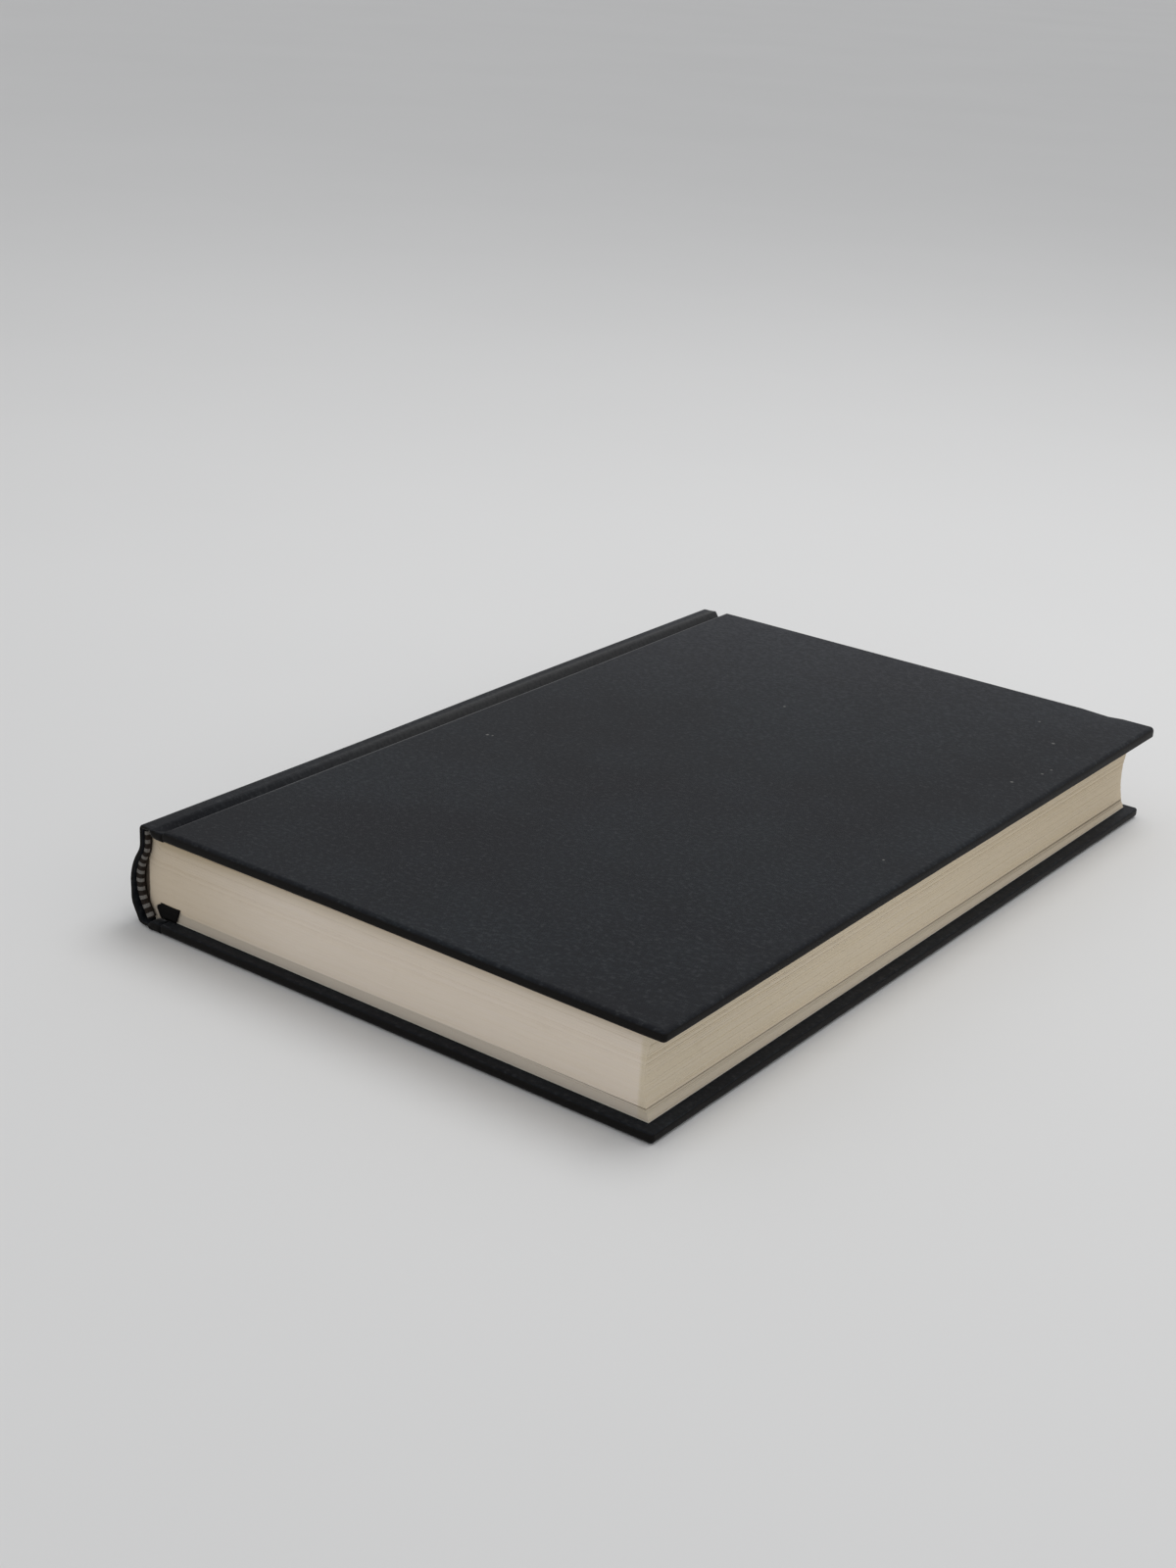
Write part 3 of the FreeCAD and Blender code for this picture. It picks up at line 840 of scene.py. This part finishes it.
CARD_END = 109.9
CARD = 0.42
CARD_INSET = 0.28
card_line = []
for here, side in zip(spine_line, inward(spine_line)):
    if here.x < -68.2 and 2.9 < here.y < 23.3:
        card_line.append(here + side * CARD_INSET - Vector((spread(here.x, here.y), 0.0)))
card = make_sheet("spine_card_strip", card_line, CARD_END, CARD, spine_card)
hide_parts("spine_card")
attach(card, "book_block")
report(card)

# %% Mull and end paper at the joints
MULL_CORNERS = [
    (-61.70, 22.85, 0.00),
    (-65.160, 22.85, 0.55),
    (-65.660, 24.50, 0.55),
    (-67.275, 24.50, 0.90),
    (-67.275, 18.506, 6.40),
    (-72.779, 10.602, 12.00),
    (-67.178, 0.900, 0.90),
    (-66.110, 0.900, 0.55),
    (-65.610, 2.550, 0.55),
    (-62.90, 2.550, 0.00),
]
MULL_END = 96.0
MULL = 0.2

mull_line = filleted(MULL_CORNERS)
split = middle_index(mull_line, -69)
for front, name, line in (
    (True, "spine_mull_front", mull_line[: split + 1]),
    (False, "spine_mull_back", mull_line[split:]),
):
    sheet = make_sheet(name, line, MULL_END, MULL, mull)
    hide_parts("spine_mull")
    bend_at_joint(sheet)
    report(sheet)

PAPER_JOINTS = {
    True: [
        (-61.45, 22.90, 0.0), (-64.45, 22.86, 0.1), (-64.50, 22.66, 0.08), (-64.1, 22.63, 0.0),
    ],
    False: [
        (-64.1, 2.77, 0.0), (-64.50, 2.74, 0.08), (-64.45, 2.54, 0.1), (-62.65, 2.50, 0.0),
    ],
}
PAPER_END = 107.8
PAPER = 0.1
for front, name in ((True, "front_end_paper_joint"), (False, "back_end_paper_joint")):
    strip = make_sheet(name, filleted(PAPER_JOINTS[front]), PAPER_END, PAPER, end_paper)
    bend_at_joint(strip)
    report(strip)

# %% [markdown]
# ## The leaves
# The leaves are one block, but its trimmed faces are stacks of paper edges. It is built as 96
# thin steps, each standing a few hundredths of a millimetre proud or shy of its neighbours.
# Near the spine the leaves bend towards the shoulders, so every step follows a curve that
# lies between the block's top and bottom outlines.

# %% Outlines of the block
BLOCK_END = 108.0
BLOCK_FORE = 67.775
BLOCK_FLOOR = 2.9
BLOCK_TOP = 22.5
FORE_HOLLOW = 1.8
TOP_CORNERS = [
    (-67.075, 23.90, 0.0), (-66.80, 24.30, 0.3), (-65.809, 24.30, 0.35),
    (-65.263, BLOCK_TOP, 0.90), (BLOCK_FORE, BLOCK_TOP, 0.0),
]
BOTTOM_CORNERS = [
    (-67.40, 1.60, 0.0), (-67.062, 1.10, 0.2), (-66.259, 1.10, 0.35),
    (-65.713, BLOCK_FLOOR, 0.90), (BLOCK_FORE, BLOCK_FLOOR, 0.0),
]
BACK_CORNERS = [
    (-67.40, 1.60, 0.0), (-72.542, 10.591, 11.80), (-67.075, 18.443, 6.60),
    (-67.075, 23.90, 0.0),
]


def height_on(line):
    """Height of a chain above each x, by straight pieces."""
    def height(x):
        for a, b in zip(line, line[1:]):
            if a.x <= x <= b.x and b.x > a.x:
                return a.y + (b.y - a.y) * (x - a.x) / (b.x - a.x)
        return line[-1].y if x > line[-1].x else line[0].y
    return height


top_height = height_on(filleted(TOP_CORNERS))
bottom_height = height_on(filleted(BOTTOM_CORNERS))
back_line = filleted(BACK_CORNERS, run_step=0.3)
back_reach = [0.0]
for a, b in zip(back_line, back_line[1:]):
    back_reach.append(back_reach[-1] + (b - a).length)
print("length of the rounded back, mm:", round(back_reach[-1], 2))


# %% Section of the block
def on_back(share):
    """Point of the rounded back at a share of its length."""
    wanted = share * back_reach[-1]
    for index in range(1, len(back_line)):
        if back_reach[index] >= wanted - 1e-9:
            span = back_reach[index] - back_reach[index - 1]
            part = (wanted - back_reach[index - 1]) / max(span, 1e-9)
            return back_line[index - 1].lerp(back_line[index], part)
    return back_line[-1]


def section_point(share, across):
    """Point of the block's section: share of the leaves, and from spine to fore edge."""
    top_start, bottom_start = TOP_CORNERS[0], BOTTOM_CORNERS[0]
    top_x = top_start[0] + (BLOCK_FORE - top_start[0]) * across
    bottom_x = bottom_start[0] + (BLOCK_FORE - bottom_start[0]) * across
    top = Vector((top_x, top_height(top_x)))
    bottom = Vector((bottom_x, bottom_height(bottom_x)))
    back = on_back(share)
    middle = 2 * share - 1
    fore_height = BLOCK_FLOOR + (BLOCK_TOP - BLOCK_FLOOR) * share
    fore = Vector((BLOCK_FORE - FORE_HOLLOW * (1 - middle * middle), fore_height))
    ends = (
        (1 - share) * (1 - across) * Vector(bottom_start[:2])
        + (1 - share) * across * Vector((BLOCK_FORE, BLOCK_FLOOR))
        + share * (1 - across) * Vector(top_start[:2])
        + share * across * Vector((BLOCK_FORE, BLOCK_TOP))
    )
    return (1 - share) * bottom + share * top + (1 - across) * back + across * fore - ends


print("middle of the section:", section_point(0.5, 0.5))

# %% [markdown]
# The leaves stand slightly open where the ribbon lies, so the steps above and below that
# leaf are pushed apart by 0.2 mm. The parting lies a little askew in the block, and dips in
# front of the ribbon. At head and tail the backs of the upper leaves flare out.

# %% Points of a leaf
PARTING_GAP = 0.2
PARTING_DIP = 0.75
PARTING_LEVEL = 5.34
PARTING_TILT = (-0.0046, -0.00255)
END_FLARE = 1.1
ACROSS = [0.0, 0.002, 0.005, 0.008, 0.011, 0.014, 0.017, 0.02, 0.025, 0.03, 0.04, 0.055, 0.08]
ACROSS += [0.08 + 0.92 * step / 24 for step in range(1, 25)]
ALONG = [2 * step / 30 - 1 for step in range(31)]


def parting_height(x, y):
    """Height of the parting: lower in front of the ribbon than where the ribbon lies."""
    plane = PARTING_LEVEL + PARTING_TILT[0] * x + PARTING_TILT[1] * y
    return plane - PARTING_DIP * ease(x, -61.8, -58.8) * ease(x, 40.0, -50.0)


def leaf_point(share, across, along, side, trim):
    """Point of the block with the parting and a leaf's own trim taken in."""
    spot = section_point(share, across)
    parted = PARTING_LEAF / LEAF_COUNT
    y = along * (BLOCK_END - trim * ease(abs(along), 0.97, 1.0))
    nominal = section_point(parted, across).y
    shift = (parting_height(spot.x, y) - nominal) * ease(spot.x, -67.0, -58.0)
    gap = PARTING_GAP / 2 * ease(spot.x, -67.3, -66.2) * (0.35 + 0.65 * ease(across, 0.9, 1.0))
    if side < 0:
        lift = (shift - gap) * share / parted
    else:
        lift = (shift + gap) * (1 - share) / (1 - parted)
    flare = END_FLARE * ease(abs(along), 0.94, 1.0) * ease(across, 0.02, 0.0)
    x = spot.x - trim * 1.4 * ease(across, 0.985, 1.0) - flare * ease(spot.y, 11.0, 17.0)
    return (x, y, spot.y + lift)


print("parting at the tail, mm:", round(parting_height(BLOCK_FORE, -BLOCK_END), 2))

# %% [markdown]
# Going round the four edges of a step gives a loop of points. The loops stand on each other
# and make the trimmed faces, and a grid closes the stack below and above. At the parting one
# more loop lies deep inside, near the spine, and makes the pocket between the leaves.

# %% Page block
POCKET_X = -67.0
random.seed(7)
loop_keys = [(i, 0) for i in range(len(ACROSS))]
loop_keys += [(len(ACROSS) - 1, j) for j in range(1, len(ALONG))]
loop_keys += [(i, len(ALONG) - 1) for i in range(len(ACROSS) - 2, -1, -1)]
loop_keys += [(0, j) for j in range(len(ALONG) - 2, 0, -1)]
LOOP = len(loop_keys)


def leaf_loop(share, side, trim):
    return [leaf_point(share, ACROSS[i], ALONG[j], side, trim) for i, j in loop_keys]


block_points, leaf_numbers, loops = [], [], 0
for leaf in range(LEAF_COUNT):
    trim = random.uniform(0.0, 0.05) + 0.05 * (random.random() < 0.08)
    side = -1 if leaf < PARTING_LEAF else 1
    if leaf == PARTING_LEAF:
        for i, j in loop_keys:
            x, y, _ = leaf_point(leaf / LEAF_COUNT, ACROSS[i], ALONG[j], 0, 0.0)
            x = min(x + 0.2, POCKET_X)
            block_points.append((x, y * 0.995, parting_height(POCKET_X, y)))
            leaf_numbers.append(leaf)
        loops += 1
    for edge in (leaf, leaf + 1):
        block_points += leaf_loop(edge / LEAF_COUNT, side, trim)
        leaf_numbers += [leaf + 0.5] * LOOP
        loops += 1
block_faces = ring_faces(loops, LOOP)


def cap(share, side, base):
    """Closes the stack with a grid whose rim is a loop that is already there."""
    where = {key: base + index for index, key in enumerate(loop_keys)}
    for i in range(1, len(ACROSS) - 1):
        for j in range(1, len(ALONG) - 1):
            where[i, j] = len(block_points)
            block_points.append(leaf_point(share, ACROSS[i], ALONG[j], side, 0.0))
            leaf_numbers.append(share * LEAF_COUNT)
    for i in range(len(ACROSS) - 1):
        for j in range(len(ALONG) - 1):
            corners = ((i, j), (i + 1, j), (i + 1, j + 1), (i, j + 1))
            block_faces.append(tuple(where[corner] for corner in corners))


cap(0.0, -1, 0)
cap(1.0, 1, (loops - 1) * LOOP)
page_block = make_piece("page_block_leaves", block_points, block_faces, leaves, sharp=25.0)
leaf_layer = page_block.data.attributes.new("leaf", "FLOAT", "POINT")
leaf_layer.data.foreach_set("value", leaf_numbers)
tidy_mesh(page_block, sharp=25.0)
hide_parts("page_block")
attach(page_block, "book_block")
report(page_block)

# %% [markdown]
# ## Headbands
# A headband is a cord wound with silk: three turns of white, then four of black. Real turns
# catch the light one by one, so each turn is modelled as a ridge round the cord, and the
# faces of a turn take the silk of its colour.

# %% Headbands
BAND_CORNERS = [
    (-68.25, 23.2, 0.0), (-68.25, 18.60, 6.8), (-72.75, 10.60, 11.55), (-67.65, 2.20, 0.0),
]
BEAD_HALF = (0.60, 0.95)
TURN_PITCH = 0.30
WHITE_TURNS = 3
GROUP_TURNS = 7
BAND_SIDES = 18


def make_headband(name, node, end):
    line = filleted(BAND_CORNERS, arc_step=4.0, run_step=TURN_PITCH / 4)
    reach = [0.0]
    for a, b in zip(line, line[1:]):
        reach.append(reach[-1] + (b - a).length)
    steps = int(reach[-1] / (TURN_PITCH / 4))
    stations, cursor = [], 0
    for step in range(steps + 1):
        wanted = reach[-1] * step / steps
        while cursor < len(reach) - 2 and reach[cursor + 1] < wanted:
            cursor += 1
        part = (wanted - reach[cursor]) / max(reach[cursor + 1] - reach[cursor], 1e-9)
        stations.append((wanted, line[cursor].lerp(line[cursor + 1], part)))
    sides = inward([spot for _, spot in stations])
    points = []
    for (wanted, spot), side in zip(stations, sides):
        ridge = 1 - 0.09 * (1 - abs(math.sin(math.pi * wanted / TURN_PITCH)))
        for k in range(BAND_SIDES):
            angle = 2 * math.pi * k / BAND_SIDES
            wide = math.copysign(abs(math.cos(angle)) ** 0.9, math.cos(angle))
            wide *= 1 + 0.8 * ease(spot.y, 20.0, 13.0)
            tall = math.copysign(abs(math.sin(angle)) ** 0.9, math.sin(angle))
            place = spot + side * (wide * BEAD_HALF[0] * ridge)
            y = BLOCK_END + BEAD_HALF[1] + tall * BEAD_HALF[1] * ridge
            points.append((place.x, end * y, place.y))
    faces = ring_faces(len(stations), BAND_SIDES)
    faces += [tuple(range(BAND_SIDES)), tuple(range(len(points) - BAND_SIDES, len(points)))]
    band = make_piece(name, points, faces, black_silk, sharp=70.0)
    band.data.materials.append(shaded_white_silk)
    for face in band.data.polygons[:-2]:
        station = face.index // BAND_SIDES
        turn = int(stations[station][0] / TURN_PITCH)
        height = math.sin(2 * math.pi * (face.index % BAND_SIDES + 0.5) / BAND_SIDES)
        if turn % GROUP_TURNS < WHITE_TURNS and height > -0.1:
            face.material_index = 1
    face_outward(band)
    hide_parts(node)
    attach(band, "book_block")
    report(band)


make_headband("tail_headband", "tail_band", -1)
make_headband("head_headband", "head_band", 1)

# %% [markdown]
# ## Ribbon marker
# The ribbon lies between the leaves, comes out at the tail and hangs over the edges of the
# last leaves, its end cut on a slant. At the head it leaves the same parting and goes up
# behind the headband, where it is glued. It is one long grid of cloth.

# %% Ribbon
RIBBON = 0.16
RIBBON_COLUMNS = 10
RIBBON_SPAN = (-66.3, -59.9)
INNER_ROWS = 12
INNER_END = 106.0
HEAD_SLANT = 0.25
# y, height, left x and right x of each row outside the leaves
TAIL_ROWS = [
    (-107.0, 6.02, -66.0, -59.6),
    (-107.9, 6.00, -66.0, -59.6),
    (-108.12, 5.93, -65.4, -59.55),
    (-108.20, 5.70, -66.0, -59.60),
    (-108.24, 5.30, -66.6, -59.70),
    (-108.28, 4.70, -66.6, -59.85),
    (-108.34, 4.00, -66.2, -60.05),
    (-108.42, 3.30, -65.7, -60.25),
    (-108.52, 2.85, -65.3, -60.40),
]
HEAD_ROWS = [
    (107.9, 5.35, -66.4, -59.9),
    (108.12, 5.50, -66.6, -60.2),
    (108.16, 6.2, -67.5, -62.4),
    (108.16, 7.0, -68.8, -65.2),
    (108.10, 9.0, -69.6, -68.6),
]


def across_ribbon(left, right):
    """The x of each point in a row."""
    return [left + (right - left) * k / RIBBON_COLUMNS for k in range(RIBBON_COLUMNS + 1)]


def make_ribbon():
    rows = []
    for y, z, left, right in TAIL_ROWS[::-1]:
        rows.append([(x, y, z) for x in across_ribbon(left, right)])
    for step in range(INNER_ROWS):
        y = -INNER_END + 2 * INNER_END * step / (INNER_ROWS - 1)
        rows.append([(x, y, parting_height(x, y)) for x in across_ribbon(*RIBBON_SPAN)])
    for y, z, left, right in HEAD_ROWS:
        row = across_ribbon(left, right)
        rows.append([(x, y, z + HEAD_SLANT * k) for k, x in enumerate(row)])
    points = [point for row in rows for point in row]
    faces = grid_faces(len(rows), RIBBON_COLUMNS + 1)
    return make_piece("ribbon_marker_satin", points, faces, satin, sharp=50.0)


ribbon = make_ribbon()
thicken(ribbon, RIBBON, offset=0.0)
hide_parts("ribbon_marker")
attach(ribbon, "book_block")
report(ribbon)

# %% [markdown]
# ## Pieces that keep their solid
# The paper lining on the back, the gauze flaps, the pastedowns and the fly leaves are plain
# sheets, and the frame's solids are already right. They only need their finish.

# %% Finishes on the frame's own solids
KEPT = {
    kraft: ("spine_lining",),
    mull: ("front_mull_flap", "back_mull_flap"),
    end_paper: ("front_pastedown", "back_pastedown", "front_flyleaf", "back_flyleaf"),
}
for material, names in KEPT.items():
    for name in names:
        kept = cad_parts[name]
        kept.data.materials.clear()
        kept.data.materials.append(material)
        print("kept:", name, "in", material.name)

# %% [markdown]
# ## Floor, light and camera
# The book lies on a pale, seamless surface, so the floor is one very large disk.

# %% Floor
FLOOR_TONES = ((0.70, 0.70, 0.695), (0.74, 0.74, 0.735))
FLOOR_RADIUS = 9000.0
FLOOR_SIDES = 64


def make_floor():
    paint = Paint("pale_floor")
    point, _ = paint.place()
    clouds = paint.noise(point, 260.0, detail=3.0)
    colour = paint.mix(clouds, *FLOOR_TONES)
    material = paint.finish(colour, 0.9)
    rim = []
    for k in range(FLOOR_SIDES):
        angle = 2 * math.pi * k / FLOOR_SIDES
        rim.append((FLOOR_RADIUS * math.cos(angle), FLOOR_RADIUS * math.sin(angle), 0.0))
    floor = make_piece("floor", rim, [tuple(range(FLOOR_SIDES))], material)


make_floor()

# %% [markdown]
# The photo's shadows are broad and faint, so most light is an even, slightly cool sky. A
# disk above the head end brightens the upper faces, and one in front lights the leaves.

# %% Light
SKY_COLOUR = (0.98, 0.985, 1.0, 1.0)
SKY_STRENGTH = 0.62

world = bpy.data.worlds.new("studio")
bpy.context.scene.world = world
world.use_nodes = True
sky = world.node_tree.nodes["Background"]
sky.inputs["Color"].default_value = SKY_COLOUR
sky.inputs["Strength"].default_value = SKY_STRENGTH


def area_light(name, place, aim, size, power):
    lamp = bpy.data.lights.new(name, "AREA")
    lamp.shape = "DISK"
    lamp.size = size
    lamp.energy = power
    holder = bpy.data.objects.new(name, lamp)
    holder.location = place
    holder.rotation_euler = (Vector(aim) - Vector(place)).to_track_quat("-Z", "Y").to_euler()
    bpy.context.scene.collection.objects.link(holder)
    print("light:", name, power, "W")


area_light("soft_top", (0.08, 0.30, 0.85), (0.04, 0.12, 0.0), 0.6, 2.9)
area_light("soft_front", (2.4, -2.6, 0.9), (0.0, 0.0, 0.0), 1.2, 4.0)

# %% [markdown]
# The camera stands low, in front of the tail and fore edge. It was fitted to the boards'
# straight edges in the photo: place in metres, angles in radians, focal length in pixels.

# %% Camera
AZIMUTH = 0.621705
ELEVATION = 0.383832
ROLL = 0.056606
CAMERA_PLACE = (0.272472, -0.419856, 0.222194)
FOCAL_PIXELS = 2288.70
PHOTO_HEIGHT = 1600


def make_camera():
    back = Vector((
        math.sin(AZIMUTH) * math.cos(ELEVATION),
        -math.cos(AZIMUTH) * math.cos(ELEVATION),
        math.sin(ELEVATION),
    ))
    right = Vector((math.cos(AZIMUTH), math.sin(AZIMUTH), 0.0))
    up = back.cross(right)
    rolled_right = right * math.cos(ROLL) + up * math.sin(ROLL)
    rolled_up = up * math.cos(ROLL) - right * math.sin(ROLL)
    turn = Matrix((rolled_right, rolled_up, back)).transposed().to_4x4()
    lens = bpy.data.cameras.new("camera")
    lens.sensor_width = 36.0
    lens.lens = FOCAL_PIXELS * lens.sensor_width / PHOTO_HEIGHT
    lens.clip_start, lens.clip_end = 0.01, 30.0
    camera = bpy.data.objects.new("camera", lens)
    camera.matrix_world = Matrix.Translation(CAMERA_PLACE) @ turn
    bpy.context.scene.collection.objects.link(camera)
    bpy.context.scene.camera = camera
    print("lens, mm:", round(lens.lens, 2))


make_camera()
bpy.context.scene.view_settings.view_transform = "Standard"
